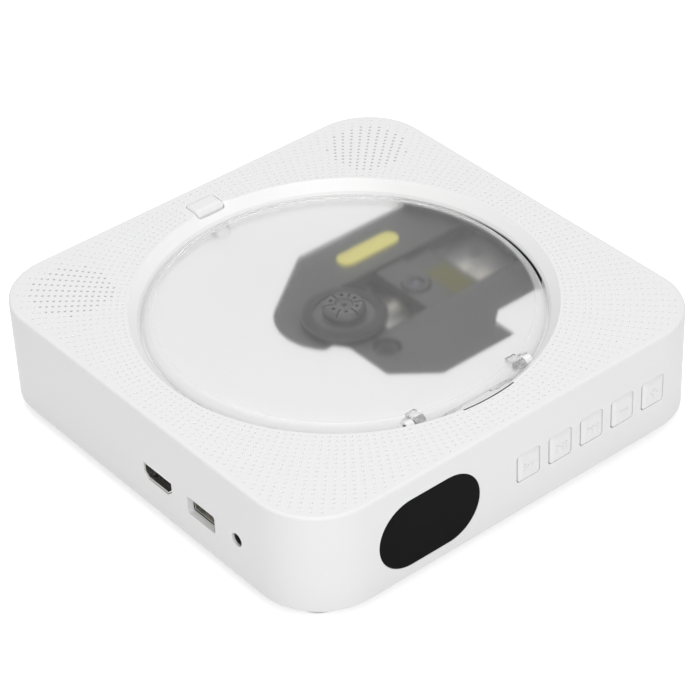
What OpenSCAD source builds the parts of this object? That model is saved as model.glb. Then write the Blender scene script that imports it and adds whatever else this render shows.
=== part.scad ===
// Wall mounted disc player: square body, round hinged lid over a disc well,
// perforated top, display and five keys in front, sockets on the left side.
// The origin is the middle of the footprint, on the surface under the feet.
// X runs along the front face, the front faces -Y, and the lid opens upwards.

/* [Body] */
// Width and depth of the square body
body_w = 175; // [174:0.5:180]
// Height of the body above its feet
body_h = 38.4; // [38:0.2:42]
// Radius of the four upright corners
corner_r = 23.9; // [22:0.1:26]
// Thickness of the side walls
wall = 2.4; // [2.2:0.1:2.6]
// Rounding of the top edge
edge_r = 1.4; // [1:0.1:1.8]
// Height of the rubber feet
foot_h = 4; // [3.5:0.1:4.5]

/* [Disc well] */
// Radius of the crest of the sloped rim
rim_r = 73.9; // [73.5:0.1:74]
// Radius of the round recess below the rim
recess_r = 68.8; // [68.6:0.1:69]
// Depth of the floor of the well below the top
well_d = 9; // [8.8:0.1:9.2]

/* [Perforation] */
// Holes in one ring round the well
ring_holes = 200; // [160:20:240]
// Distance between two rings of holes
ring_step = 2.17; // [2.1:0.01:2.3]
// Radius of a hole
hole_r = 0.5; // [0.4:0.05:0.6]

/* [Lid] */
// Outer radius of the lid
lid_r = 66.2; // [66:0.1:66.4]
// Thickness of the lid's sheet
lid_t = 1.4; // [1.2:0.1:1.5]
// How much the lid bulges in its middle
lid_rise = 1.6; // [1:0.1:1.8]

/* [Keys and display] */
// Distance between two front keys
key_pitch = 13.9; // [13.6:0.1:14]
// Width of a key
key_w = 10; // [9:0.1:10.4]
// Height of a key
key_h = 10.7; // [9.5:0.1:11]
// How far a key stands out of the front
key_out = 1; // [0.6:0.1:1.4]
// Length of the display window
display_w = 41.8; // [38:0.2:42]
// Height of the display window
display_h = 26.5; // [24:0.5:27]

/* [Disc drive] */
// Distance of the lens from the spindle at rest
lens_x = 32; // [32]
// Module of the gear teeth
gear_m = 0.5; // [0.5]
// Teeth of the large wheel of the drive gear
wheel_teeth = 40; // [40]
// Teeth of the small wheel of the drive gear
rack_teeth = 14; // [14]
// Teeth of the motor's pinion
pinion_teeth = 11; // [11]

/* [Hidden] */
$fn = 64;
eps = 0.01;
z0 = foot_h;                // underside of the body
z1 = foot_h + body_h;       // top of the body
corner_c = body_w / 2 - corner_r;
side_len = body_w - 2 * corner_r;
inner = body_w / 2 - wall;  // inner face of the side walls
floor_t = 2.4;
z_floor = z0 + floor_t;
panel_t = 1.8;              // thickness of the perforated panel
panel_in = 2.2;             // its edge, measured in from the side of the body
panel_hole_r = rim_r + 1.1;
well_t = 2;
well_wall = 2;

// Depths below the top of the body
rim_foot_d = 4.5;
hinge_d = 4.2;
lid_edge_d = 3;
lid_top_d = 2;
lid_skirt_d = 5.6;
disc_d = 6.5;
deck_d = 9.8;
flange_d = well_d + well_t + 1.6;
deck_t = 2;
under_d = flange_d + deck_t;
grommet_t = 0.8;
sled_d = 10.6;
sled_back_d = 12;
sled_foot_d = under_d + 2.7;
rod_d = under_d + 3.2;
rack_d = sled_foot_d + 2.2;
wheel_d = rack_d + 2;
wheel_t = 1.7;
plate_d = wheel_d + 0.4;
plate_t = 1.4;
latch_d = 6.2;              // top of the latch
button_d = 4.6;             // underside of the open button's cap
spring_d = 10;              // shelf under its spring

// Spring under the open button
spring_r = 1.15;
wire_r = 0.22;
spring_l = spring_d - button_d;
spring_turns = 5;
spring_steps = 14;

// Front face
key_x0 = 31.1;
face_z = z0 + 17.7;
display_x = -38.4;

// Left side sockets, by their place along the side and their height
hdmi_y = -10.1;
hdmi_z = z0 + 14.4;
usb_y = -33.1;
usb_z = z0 + 14;
jack_y = -51.7;
jack_z = z0 + 15.6;
board_z = z0 + 10.6;
board_t = 1.6;
board_x = [-84.4, -33];
board_y = [-54.4, 22];
board_posts = [[-38, -48], [-38, 16], [-78, 16]];

// Power inlet in the right side
power_y = -40;
power_z = z0 + 12;

// Lid hinge
hinge_y = -62.5;
hinge_x = 21.5;
pin_r = 1;

// Open button
open_x = -0.5;
open_y = 75.7;
open_w = 11.5;
open_l = 7.4;
open_out = 0.5;

// Disc drive
window_x = [7.9, 76.5];
window_y = [-13.7, 15.7];
rod_y = [17.5, -17.6];
rod_r = 1.5;
rod_x = [13.6, 78.8];
sled_x = [-6, 18.5];        // ends of the sled, measured from the lens
turntable_r = 14.9;
hub_r = 7.4;
motor_r = 12.2;
wheel_r = gear_m * wheel_teeth / 2;
small_r = gear_m * rack_teeth / 2;
pinion_r = gear_m * pinion_teeth / 2;
gear_x = 48.5;
gear_y = -2;
pinion_x = gear_x + wheel_r + pinion_r;
grommets = [[1, -21], [-16, 27], [44, 43.5], [60, -37]];

// Underside
feet_at = body_w / 2 - 16;
boss_x = inner - 3.8;
boss_y = [34, -60];
keyhole_x = 50;
keyhole_y = 56;
speaker_at = 65.5;
speaker_r = 16.5;
foot_r = 9;

// Height of a level that lies d below the top of the body
function lvl(d) = z1 - d;

// Points of an arc about [cx, cy], from angle a0 to a1 in n steps
function arc(cx, cy, r, a0, a1, n) =
    [for (i = [0:n]) let (a = a0 + (a1 - a0) * i / n) [cx + r * cos(a), cy + r * sin(a)]];

// Flat outline of a rectangle with round corners
module rounded(w, d, r) {
    square([w - 2 * r, d], center = true);
    square([w, d - 2 * r], center = true);
    for (sx = [-1, 1], sy = [-1, 1])
        translate([sx * (w / 2 - r), sy * (d / 2 - r)]) circle(r);
}

// A wall's cross-section, drawn as distance from the corner's axis against
// height, carried round the four sides and corners of the body
module wall_loop() {
    for (k = [0:3]) rotate(90 * k) {
        translate([-side_len / 2, corner_c, 0]) rotate([90, 0, 90]) linear_extrude(side_len) children();
        translate([corner_c, corner_c, 0]) rotate_extrude(angle = 90) children();
    }
}

// Something cut or set in the left side: X of the child runs along the side
module on_left(y, z) translate([-body_w / 2, y, z]) rotate([90, 0, -90]) children();
// The same for the front face
module on_front(x, z) translate([x, -body_w / 2, z]) rotate([90, 0, 0]) children();

// ---------------------------------------------------------------- housing

module top_shell() color("white") {
    r = corner_r;
    difference() {
        union() {
            wall_loop() polygon(concat(
                [[r - wall, z0], [r - 0.5, z0], [r, z0 + 0.5]],
                arc(r - edge_r, z1 - edge_r, edge_r, 0, 90, 6),
                [[r - panel_in, z1], [r - panel_in, z1 - panel_t], [r - 4.4, z1 - panel_t],
                 [r - 4.4, z1 - 3.2], [r - wall, z1 - 5.2]]));
            for (sx = [-1, 1], y = boss_y) translate([sx * boss_x, y, z_floor]) {
                cylinder(r = 3.2, h = 20);
                translate([sx > 0 ? 0 : -4, -0.8, 0]) cube([4, 1.6, 20]);
            }
            // posts behind the front, which carry the two boards
            for (x = [-20, 20], y = [-11.3, 11.3]) on_front(display_x + x, face_z + y)
                translate([0, 0, -wall - 6.4]) cylinder(r = 1.3, h = 6.5);
            for (x = [-34, 34], y = [-8.3, 8.3]) on_front(key_x0 + x, face_z + y)
                translate([0, 0, -wall - 7.7]) cylinder(r = 1.3, h = 7.8);
        }
        for (sx = [-1, 1], y = boss_y)
            translate([sx * boss_x, y, z_floor - 1]) cylinder(r = 1.25, h = 14);
        // openings of the left side
        on_left(hdmi_y, hdmi_z) translate([0, 0, -wall - 1]) linear_extrude(wall + 2)
            polygon([[-7.55, 3.15], [7.55, 3.15], [7.55, -0.9], [5.3, -3.15], [-5.3, -3.15], [-7.55, -0.9]]);
        on_left(usb_y, usb_z) translate([0, 0, -wall - 1]) linear_extrude(wall + 2) rounded(14.3, 7, 0.8);
        on_left(jack_y, jack_z) translate([0, 0, -wall - 1]) cylinder(r = 2.45, h = wall + 2);
        // power inlet in the right side
        translate([inner - 1, power_y, power_z]) rotate([0, 90, 0]) cylinder(r = 4.2, h = wall + 2);
        // display and keys in the front
        on_front(display_x, face_z) translate([0, 0, -wall - 1]) linear_extrude(wall + 2)
            rounded(display_w, display_h, display_h / 2 - eps);
        for (k = [-2:2]) on_front(key_x0 + k * key_pitch, face_z) translate([0, 0, -wall - 1])
            linear_extrude(wall + 2) rounded(key_w + 0.2, key_h + 0.2, 1.3);
    }
}

// Places of the holes over one speaker, where the rings cross its cone
function speaker_holes(sx) = [for (k = [1:14], i = [0:ring_holes / 2])
    let (r = panel_hole_r + 1.2 + ring_step * k, a = 360 / ring_holes * i, p = [r * cos(a), r * sin(a)])
        if (norm(p - [sx * speaker_at, speaker_at]) < speaker_r - 2) p];

module grille_panel() color("white") {
    w = body_w - 2 * panel_in;
    translate([0, 0, z1 - panel_t]) linear_extrude(panel_t) difference() {
        rounded(w, w, corner_r - panel_in);
        circle(panel_hole_r);
        open_hole();
        for (sx = [-1, 1], p = speaker_holes(sx)) translate(p) circle(hole_r);
    }
    for (sx = [-1, 1]) translate([sx * speaker_at, speaker_at, lvl(3.8)])
        linear_extrude(3.8 - panel_t) difference() {
            circle(speaker_r);
            circle(speaker_r - 1.6);
        }
}

// Outline of the hole that the open button moves in
module open_hole() translate([open_x, open_y]) rounded(open_w + 0.5, open_l + 0.5, 1.2);

// Outline of the opening in the floor of the well, where the drive shows
module deck_opening(grow = 0) {
    polygon(concat(
        [[11.2 - grow, 38.4 + grow], [76 + grow, 38.4 + grow], [76 + grow, -31.7 - grow],
         [41 + grow, -31.7 - grow]],
        [[36.4 + grow, -35.5 - grow], [36.4 + grow, -45.2 - grow], [4.3 - grow, -45.2 - grow],
         [-9.5 - grow, -33.3 - grow], [-9.5 - grow, -14 - grow], [-12.6 - grow, -9.4 - grow]],
        arc(-1.7, 4.2, 20 + grow, 223, 130, 14)));
}

module disc_well() color("white") {
    difference() {
        union() {
            rotate_extrude($fn = 128) polygon([
                [0, lvl(well_d)], [recess_r, lvl(well_d)], [recess_r, lvl(rim_foot_d)],
                [rim_r, z1], [panel_hole_r, z1], [panel_hole_r, lvl(panel_t)],
                [79, lvl(panel_t)], [79, lvl(3.6)], [74.6, lvl(3.6)],
                [recess_r + well_wall, lvl(6.9)], [recess_r + well_wall, lvl(well_d + well_t)],
                [0, lvl(well_d + well_t)]]);
            for (sx = [-1, 1]) hinge_ear(sx);
            latch_guide();
        }
        translate([0, 0, lvl(14)]) linear_extrude(14 - 5.1) deck_opening();
        // slot behind the hinge, and the window for the latch
        translate([-16, -72, lvl(8)]) cube([32, 6, 2.6]);
        translate([-4, 66, lvl(8.4)]) cube([8, 7, 3]);
        translate([0, 0, lvl(8.8)]) linear_extrude(10) open_hole();
        // room for the speakers' collars
        for (sx = [-1, 1]) translate([sx * speaker_at, speaker_at, lvl(5)])
            cylinder(r = speaker_r + 0.2, h = 5 - panel_t);
        for (sx = [-1, 1]) hinge_bore(sx, pin_r + 0.02, 8);
    }
}

// Channel behind the well that the latch slides in, with the spring's shelf
module latch_guide() translate([open_x, 0, 0]) {
    for (x = [-4.1, 2.9]) translate([x, 69.5, lvl(18.8)]) cube([1.2, 13.5, 18.8 - spring_d]);
    translate([-4.1, 71, lvl(18.8)]) cube([8.2, 12, 1.2]);
    translate([4, 69.5, lvl(spring_d + 1.2)]) cube([2.2, 8.2, 1.2]);
}

// Ear of the well that holds one hinge pin beside the lid's arm
module hinge_ear(sx) translate([sx * (hinge_x + 3.9), hinge_y, 0]) {
    translate([-1.4, 0, lvl(hinge_d)]) rotate([0, 90, 0]) cylinder(r = 1.7, h = 2.8);
    translate([-1.4, -1.5, lvl(well_d + eps)]) cube([2.8, 3, well_d - hinge_d]);
}

module hinge_bore(sx, r, h) translate([sx * (hinge_x + 1.7), hinge_y, lvl(hinge_d)])
    rotate([0, 90, 0]) cylinder(r = r, h = h, center = true);

module hinge_pins() color("silver") for (sx = [-1, 1]) hinge_bore(sx, pin_r, 7.2);

module bottom_plate() color("whitesmoke") {
    w = 2 * (inner - 0.2);
    r = corner_r - wall - 0.2;
    difference() {
        union() {
            translate([0, 0, z0]) linear_extrude(floor_t) rounded(w, w, r);
            for (g = grommets) translate([g[0], g[1], z_floor - eps])
                cylinder(r = 3.5, h = lvl(under_d + grommet_t) - z_floor + eps);
            for (sx = [-1, 1]) translate([sx * keyhole_x, keyhole_y, z_floor + 3])
                cube([14, 21, 6 + 2 * eps], center = true);
            for (p = board_posts) translate([p[0], p[1], z_floor - eps])
                cylinder(r = 3, h = board_z - board_t - z_floor + eps);
            translate([inner - 14.2, power_y - 4.6, z_floor - eps]) cube([12, 9.2, power_z - 7.6 - z_floor + eps]);
        }
        for (g = grommets) translate([g[0], g[1], lvl(under_d + grommet_t) - 10]) cylinder(r = 1.3, h = 11);
        for (p = board_posts) translate([p[0], p[1], z_floor + 1]) cylinder(r = 1.1, h = 20);
        for (sx = [-1, 1], sy = [-1, 1]) translate([sx * feet_at, sy * feet_at, z0 - 1])
            cylinder(r = foot_r + 0.2, h = 1.6);
        for (sx = [-1, 1], y = boss_y) translate([sx * boss_x, y, z0 - 1]) {
            cylinder(r = 1.5, h = floor_t + 2);
            cylinder(r = 2.9, h = 2.4);
        }
        for (sx = [-1, 1]) translate([sx * keyhole_x, keyhole_y, 0]) {
            translate([0, -4.5, z0 - 1]) cylinder(r = 4.2, h = floor_t + 1 + eps);
            translate([-2.1, -4.5, z0 - 1]) cube([4.2, 9.5, floor_t + 1 + eps]);
            translate([0, 5, z0 - 1]) cylinder(r = 2.1, h = floor_t + 1 + eps);
            translate([-5.4, -8.9, z_floor]) cube([10.8, 17.8, 4.6]);
        }
    }
}

// Rubber foot, let into the bottom plate
module foot(sx, sy) color("gainsboro") translate([sx * feet_at, sy * feet_at, 0])
    rotate_extrude() polygon([[0, 0], [foot_r - 0.9, 0], [foot_r - 0.2, 0.4], [foot_r, 1], [foot_r, z0 + 0.6],
                              [0, z0 + 0.6]]);

module foot_front_left() foot(-1, -1);
module foot_front_right() foot(1, -1);
module foot_back_left() foot(-1, 1);
module foot_back_right() foot(1, 1);

// Pan head screw with a cross recess, head downwards, shank up
module screw(head_r, head_h, shank_r, length) difference() {
    union() {
        rotate_extrude() polygon([[0, 0], [head_r * 0.75, 0], [head_r, head_h * 0.5], [head_r, head_h],
                                  [shank_r, head_h], [shank_r, length - shank_r], [0, length]]);
    }
    for (a = [0, 90]) rotate(a) translate([-head_r * 0.55, -0.25, -1]) cube([head_r * 1.1, 0.5, 1.6]);
}

module case_screws() color("silver") for (sx = [-1, 1], y = boss_y)
    translate([sx * boss_x, y, z0]) screw(2.6, 1.4, 1.2, 11);

// ------------------------------------------------------------ lid and latch

// Depth of the lid's upper face at radius r
function dome(r) = lid_top_d - lid_rise * (1 - pow(r / 64, 2));

module lid() color("white", 0.5) {
    difference() {
        union() {
            rotate_extrude($fn = 128) polygon(concat(
                [for (i = [0:8]) [i * 8, lvl(dome(i * 8))]],
                [[64.6, lvl(2.15)], [65.5, lvl(2.3)], [lid_r, lvl(lid_edge_d)], [lid_r, lvl(lid_skirt_d)],
                 [lid_r - 1.5, lvl(lid_skirt_d)]],
                [for (i = [8:-1:0]) [i * 8, lvl(dome(i * 8) + lid_t + (i == 8 ? 0.3 : 0))]]));
            for (sx = [-1, 1]) translate([sx * hinge_x, hinge_y, lvl(hinge_d)]) {
                translate([-2, 0, 0]) rotate([0, 90, 0]) cylinder(r = 1.75, h = 4);
                translate([-2, 0, -1.75]) cube([4, 4.2, 3]);
            }
            translate([open_x - 2.3, lid_r - 1.6, lvl(8)]) cube([4.6, 1.6, 3.4]);
            translate([open_x - 2.3, lid_r - 1.6, lvl(8)]) cube([4.6, 2.9, 1]);
        }
        for (sx = [-1, 1]) {
            translate([sx * (hinge_x + 4.4) - 2.3, hinge_y - 4, lvl(8)]) cube([4.6, 6.2, 8]);
            hinge_bore(sx, pin_r + 0.05, 8);
        }
    }
}

// Open button: its cap slopes down at the front, where it reaches over the rim
module open_button() color("white") translate([open_x, open_y, 0]) {
    top = z1 + open_out;
    difference() {
        intersection() {
            translate([0, 0, lvl(button_d)]) linear_extrude(button_d + open_out) rounded(open_w, open_l, 1);
            translate([-open_w, 0, 0]) rotate([90, 0, 90]) linear_extrude(2 * open_w)
                polygon([[-open_l, lvl(button_d)], [-open_l, z1 - 3.8], [-2.4, z1 + 0.1], [-1.2, top],
                         [open_l / 2 - 0.5, top], [open_l, z1 - 3.4], [open_l, lvl(button_d)]]);
        }
        for (s = [-1, 1]) translate([s * open_w / 2, 0, top]) rotate([0, 45, 0])
            cube([0.7, 20, 0.7], center = true);
    }
    translate([-open_w / 2 - 0.7, -0.9, lvl(button_d)]) cube([open_w + 1.4, 5.3, 0.8]);
    // stem, with the slope that drives the latch
    translate([-2, 0, 0]) rotate([90, 0, 90]) linear_extrude(4)
        polygon([[-1.5, lvl(4.5)], [-1.5, lvl(14.5)], [0, lvl(14.5)], [2.5, lvl(12)], [2.5, lvl(4.5)]]);
}

// Latch: its tip faces the lid's nose, its foot has the slope that the
// button's stem pushes outwards
module lid_latch() color("white") translate([open_x - 2.6, 0, 0]) rotate([90, 0, 90]) linear_extrude(5.2)
    polygon([[67.7, lvl(6.9)], [71.2, lvl(7.4)], [71.2, lvl(17.4)], [80.4, lvl(17.4)], [80.4, lvl(12)],
             [open_y + 2.7, lvl(12)], [open_y - 1.5, lvl(16.2)], [72.6, lvl(16.2)],
             [72.6, lvl(latch_d)], [67.7, lvl(latch_d)]]);

// Compression spring under the button: a six sided tube wound on a helix,
// whose first and last turns lie close
function spring_z(u) = wire_r + (spring_l - 2 * wire_r) * (u < 0.14 ? u * 0.9 : u > 0.86 ? 1 - (1 - u) * 0.9
    : 0.126 + (u - 0.14) / 0.72 * 0.748);
function spring_ring(u) = let (a = 360 * spring_turns * u)
    [for (k = [0:5]) let (b = 60 * k + 30, r = spring_r + wire_r * cos(b))
        [r * cos(a), r * sin(a), spring_z(u) + wire_r * sin(b)]];
module open_spring() color("silver") translate([open_x + 4.4, open_y - 0.2, lvl(spring_d)]) {
    n = spring_turns * spring_steps;
    points = [for (i = [0:n]) each spring_ring(i / n)];
    sides = [for (i = [0:n - 1], k = [0:5]) let (a = 6 * i + k, b = 6 * i + (k + 1) % 6) each
        [[a, b, b + 6], [a, b + 6, a + 6]]];
    ends = [for (k = [1:4]) each [[0, k + 1, k], [6 * n, 6 * n + k, 6 * n + k + 1]]];
    polyhedron(points, concat(sides, ends));
}

// ------------------------------------------------------------ front face

module display_window() color("black") on_front(display_x, face_z) {
    translate([0, 0, -wall - eps]) linear_extrude(wall - 0.1 + eps)
        rounded(display_w - 0.2, display_h - 0.2, display_h / 2 - 0.11);
    translate([0, 0, -wall - 1.2]) linear_extrude(1.2)
        rounded(display_w + 3, display_h + 3, display_h / 2 + 1.4);
}

module display_module() color("darkgreen") on_front(display_x, face_z) {
    translate([-18, -8, -wall - 6.4]) cube([36, 16, 5.2]);
    translate([-22, -12.5, -wall - 8]) cube([44, 25, 1.6]);
}

// One front key: a bevelled cap in its hole, a flange behind the wall and a stem
module key(k) color("white") on_front(key_x0 + k * key_pitch, face_z) {
    difference() {
        translate([0, 0, -wall - 0.1 - eps]) linear_extrude(wall + 0.1 + eps + key_out) rounded(key_w, key_h, 1.2);
        for (s = [-1, 1]) {
            translate([s * key_w / 2, 0, key_out]) rotate([0, 45, 0]) cube([0.9, 20, 0.9], center = true);
            translate([0, s * key_h / 2, key_out]) rotate([45, 0, 0]) cube([20, 0.9, 0.9], center = true);
        }
    }
    translate([0, 0, -wall - 1.3]) linear_extrude(1.2) rounded(key_w + 2.6, key_h + 2.6, 2);
    translate([0, 0, -wall - 3.2]) cylinder(r = 1.5, h = 2);
}
module key_1() key(-2);
module key_2() key(-1);
module key_3() key(0);
module key_4() key(1);
module key_5() key(2);

module key_board() color("darkgreen") on_front(key_x0, face_z) translate([0, 0, -wall - 9.3])
    linear_extrude(1.6) square([72, 20], center = true);

module key_switches() color("dimgray") for (k = [-2:2]) on_front(key_x0 + k * key_pitch, face_z) {
    translate([-3, -3, -wall - 7.7]) cube([6, 6, 3]);
    translate([0, 0, -wall - 4.7]) cylinder(r = 1.4, h = 0.6);
}

// ------------------------------------------------------------ electronics

module main_board() color("darkgreen") difference() {
    translate([board_x[0], board_y[0], board_z - board_t])
        cube([board_x[1] - board_x[0], board_y[1] - board_y[0], board_t]);
    for (p = board_posts) translate([p[0], p[1], 0]) cylinder(r = 1.6, h = 30);
}

module board_screws() color("silver") for (p = board_posts)
    translate([p[0], p[1], board_z + 1.4]) mirror([0, 0, 1]) screw(2.5, 1.4, 1.05, 8);

module board_chips() color("dimgray") {
    for (c = [[-60, -20, 14, 14], [-48, 4, 9, 12], [-66, 2, 7, 7], [-50, -38, 8, 5]])
        translate([c[0], c[1], board_z + 0.8]) cube([c[2], c[3], 1.6], center = true);
}

module board_capacitors() color("slategray") {
    for (c = [[-40, -10], [-40, -22], [-52, -48]])
        translate([c[0], c[1], board_z]) cylinder(r = 3.1, h = 7);
}

// Stamped steel shell of a socket: a tube of the given outline, open to the
// left, whose mouth lies in from the side's outer face
module socket_shell(mouth, depth, back) {
    translate([0, 0, -wall - depth - eps]) linear_extrude(wall + depth + eps - mouth) difference() {
        children(0);
        children(1);
    }
    translate([0, 0, -wall - depth - back]) linear_extrude(back) children(0);
}

module hdmi_outline(g) polygon([[-7 - g, 2.3 + g], [7 + g, 2.3 + g], [7 + g, -0.5 - g * 0.4],
    [5.1 + g * 0.4, -2.3 - g], [-5.1 - g * 0.4, -2.3 - g], [-7 - g, -0.5 - g * 0.4]]);

module hdmi_socket() color("silver") on_left(hdmi_y, hdmi_z) {
    socket_shell(0.4, 9.6, 1) {
        hdmi_outline(0.3);
        hdmi_outline(0);
    }
    for (s = [-1, 1]) translate([s * 7.475 - 0.425, -3.8, -wall - 9]) cube([0.85, 3.8, 6]);
}

module hdmi_tongue() color("dimgray") on_left(hdmi_y, hdmi_z)
    translate([-5.6, -0.6, -wall - 9.6]) cube([11.2, 1.1, 8.2]);

module usb_socket() color("silver") on_left(usb_y, usb_z) {
    socket_shell(wall, 12, 1) {
        rounded(13.2, 5.8, 0.5);
        rounded(12.5, 5.12, 0.3);
    }
    for (s = [-1, 1]) translate([s * 6.4 - 0.5, -3.4, -wall - 9]) cube([1, 2.4, 5]);
}

module usb_tongue() color("white") on_left(usb_y, usb_z)
    translate([-5.5, 0.3, -wall - 12]) cube([11, 1.9, 10.4]);

module audio_socket() color("dimgray") on_left(jack_y, jack_z) difference() {
    union() {
        translate([-3.2, -5, -wall - 12.2]) cube([6.4, 8, 12]);
        translate([0, 0, -wall - 0.3]) cylinder(r = 2.3, h = wall - 0.5);
    }
    translate([0, 0, -12.3]) cylinder(r = 1.8, h = 20);
}

module power_inlet() color("dimgray") translate([0, power_y, power_z]) difference() {
    union() {
        translate([inner - 14.2, -4.6, -7.6]) cube([14, 9.2, 12.2]);
        translate([inner - 0.4, 0, 0]) rotate([0, 90, 0]) cylinder(r = 4, h = 1.6);
    }
    translate([inner - 10, 0, 0]) rotate([0, 90, 0]) cylinder(r = 2.9, h = 20);
}

module power_pin() color("silver") translate([inner - 10, power_y, power_z])
    rotate([0, 90, 0]) cylinder(r = 1, h = 8);

// ------------------------------------------------------------ speakers

module speaker_frame(sx) color("dimgray") translate([sx * speaker_at, speaker_at, 0])
    rotate_extrude() polygon([[speaker_r - 1.6, lvl(3.8)], [speaker_r, lvl(3.8)], [speaker_r, lvl(5)],
        [15.2, lvl(5.4)], [10.2, lvl(12)], [0, lvl(12)], [0, lvl(11)], [9.4, lvl(11)], [13.6, lvl(5)],
        [speaker_r - 1.6, lvl(5)]]);

module speaker_cone(sx) color("gray") translate([sx * speaker_at, speaker_at, 0])
    rotate_extrude() polygon(concat(
        [[14.8, lvl(5)], [14.8, lvl(4.7)]], arc(13.4, lvl(4.7), 1.1, 0, 180, 6), [[12, lvl(4.7)], [4.6, lvl(8.6)]],
        [for (i = [0:4]) [4.4 * (1 - i / 4), lvl(8.2 - 1.5 * (1 - pow(1 - i / 4, 2)))]],
        [[0, lvl(7.3)], [2.4, lvl(7.8)], [4.4, lvl(9.1)], [12, lvl(5.3)], [13.2, lvl(5)]]));

module speaker_magnet(sx) color("silver") translate([sx * speaker_at, speaker_at, lvl(19)])
    rotate_extrude() polygon([[0, 0], [9, 0], [9.5, 0.5], [9.5, 5.5], [9.2, 6], [9.8, 6], [9.8, 7], [0, 7]]);

module speaker_frame_left() speaker_frame(-1);
module speaker_frame_right() speaker_frame(1);
module speaker_cone_left() speaker_cone(-1);
module speaker_cone_right() speaker_cone(1);
module speaker_magnet_left() speaker_magnet(-1);
module speaker_magnet_right() speaker_magnet(1);

// ------------------------------------------------------------ disc drive

module deck_frame() color("dimgray") difference() {
    union() {
        // flange under the floor of the well
        translate([0, 0, lvl(under_d)]) linear_extrude(deck_t) {
            circle(25);
            translate([-12, -48]) square([50, 90]);
            translate([0, -36]) square([80, 78]);
            for (g = grommets) translate(g) circle(6.5);
            translate([38, 30]) square([12, 14]);
        }
        // raised face that fills the opening
        translate([0, 0, lvl(flange_d + eps)]) linear_extrude(flange_d - deck_d) deck_opening(-0.4);
        // walls beside the sled, which carry the rods and the motor plate
        for (y = [21.3, -23.3]) translate([14, y, lvl(plate_d)]) cube([66, 2, plate_d - under_d + eps]);
        translate([78, -23.3, lvl(plate_d)]) cube([2, 46.6, plate_d - under_d + eps]);
        for (s = [-1, 1], x = [13.4, 77]) translate([x, s > 0 ? 14.9 : -23.3, lvl(rod_d + 2.4)])
            cube([3, 8.4, rod_d + 2.4 - under_d + eps]);
    }
    translate([window_x[0], window_y[0], lvl(under_d + 1)])
        cube([window_x[1] - window_x[0], window_y[1] - window_y[0], 6]);
    translate([0, 0, lvl(under_d + 1)]) cylinder(r = 4.4, h = 8);
    for (y = rod_y) translate([rod_x[0] - 1, y, lvl(rod_d)]) rotate([0, 90, 0])
        cylinder(r = rod_r + 0.02, h = rod_x[1] - rod_x[0] + 1.1);
    // room for the rack at the outer end of its travel
    translate([77, gear_y + 2, lvl(rack_d + 0.5)]) cube([4, 6, rack_d - sled_foot_d + 1]);
    for (g = grommets) translate([g[0], g[1], lvl(under_d + 1)]) cylinder(r = 3.2, h = 8);
    translate([grommets[0][0], grommets[0][1], lvl(flange_d)]) cylinder(r = 5, h = 8);
}

module deck_grommets() color("black") for (g = grommets) translate([g[0], g[1], 0])
    rotate_extrude() polygon([[1.7, lvl(under_d + grommet_t)], [4.4, lvl(under_d + grommet_t)], [4.4, lvl(under_d)],
        [3.2, lvl(under_d)], [3.2, lvl(flange_d)], [4.4, lvl(flange_d)], [4.4, lvl(flange_d - grommet_t)],
        [1.7, lvl(flange_d - grommet_t)]]);

module deck_screws() color("silver") for (g = grommets) translate([g[0], g[1], lvl(flange_d - grommet_t)])
    difference() {
        rotate_extrude() polygon([[0, 0.6], [2.6, 0.6], [3, 0.3], [3, 0], [1.6, 0], [1.6, -deck_t - 2 * grommet_t],
                                  [1.2, -deck_t - 2 * grommet_t], [1.2, -10], [0, -11]]);
        for (a = [0, 90]) rotate(a) translate([-1.7, -0.3, 0.1]) cube([3.4, 0.6, 1]);
    }

module spindle_motor() color("silver") difference() {
    union() {
        translate([0, 0, lvl(under_d)]) mirror([0, 0, 1])
            rotate_extrude() polygon([[0, 0], [11.6, 0], [motor_r, 0.6], [motor_r, 11.4], [11.6, 12], [0, 12]]);
        translate([0, 0, lvl(under_d)]) cylinder(r = 3.1, h = 1.2);
    }
    translate([0, 0, lvl(under_d + 9)]) cylinder(r = 1.05, h = 20);
}

module spindle_shaft() color("silver") translate([0, 0, lvl(under_d + 8.8)]) cylinder(r = 1, h = under_d + 8.8 - 5);

module turntable() color("dimgray") rotate_extrude() polygon([
    [1.02, lvl(disc_d + 0.5)], [10.4, lvl(disc_d + 0.5)], [10.4, lvl(disc_d + 0.6)], [14.6, lvl(disc_d + 0.6)],
    [turntable_r, lvl(disc_d + 0.8)], [turntable_r, lvl(disc_d + 1.9)], [13.8, lvl(disc_d + 1.9)],
    [13.2, lvl(disc_d + 1.5)], [4, lvl(disc_d + 1.9)], [3, lvl(under_d - 1.5)], [1.02, lvl(under_d - 1.5)]]);

module turntable_pad() color("black") rotate_extrude() polygon([
    [10.6, lvl(disc_d + 0.6)], [10.6, lvl(disc_d)], [14.3, lvl(disc_d)], [14.3, lvl(disc_d + 0.6)]]);

module disc_hub() color("dimgray") difference() {
    rotate_extrude() polygon([
        [1.02, lvl(disc_d + 0.5)], [hub_r + 0.8, lvl(disc_d + 0.5)], [hub_r + 0.8, lvl(disc_d)], [hub_r, lvl(disc_d)],
        [hub_r, lvl(4.4)], [6.9, lvl(3.4)], [6.2, lvl(2.8)], [3.2, lvl(2.8)], [2.8, lvl(3.4)], [1.02, lvl(3.4)]]);
    for (a = [30:60:330]) rotate(a) {
        translate([3.6, -0.35, lvl(4.2)]) cube([6, 0.7, 6]);
        rotate(30) translate([4.7, 0, lvl(3.8)]) cylinder(r = 0.7, h = 3);
    }
}

module guide_rods() color("silver") for (y = rod_y)
    translate([rod_x[0], y, lvl(rod_d)]) rotate([0, 90, 0]) cylinder(r = rod_r, h = rod_x[1] - rod_x[0]);

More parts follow.
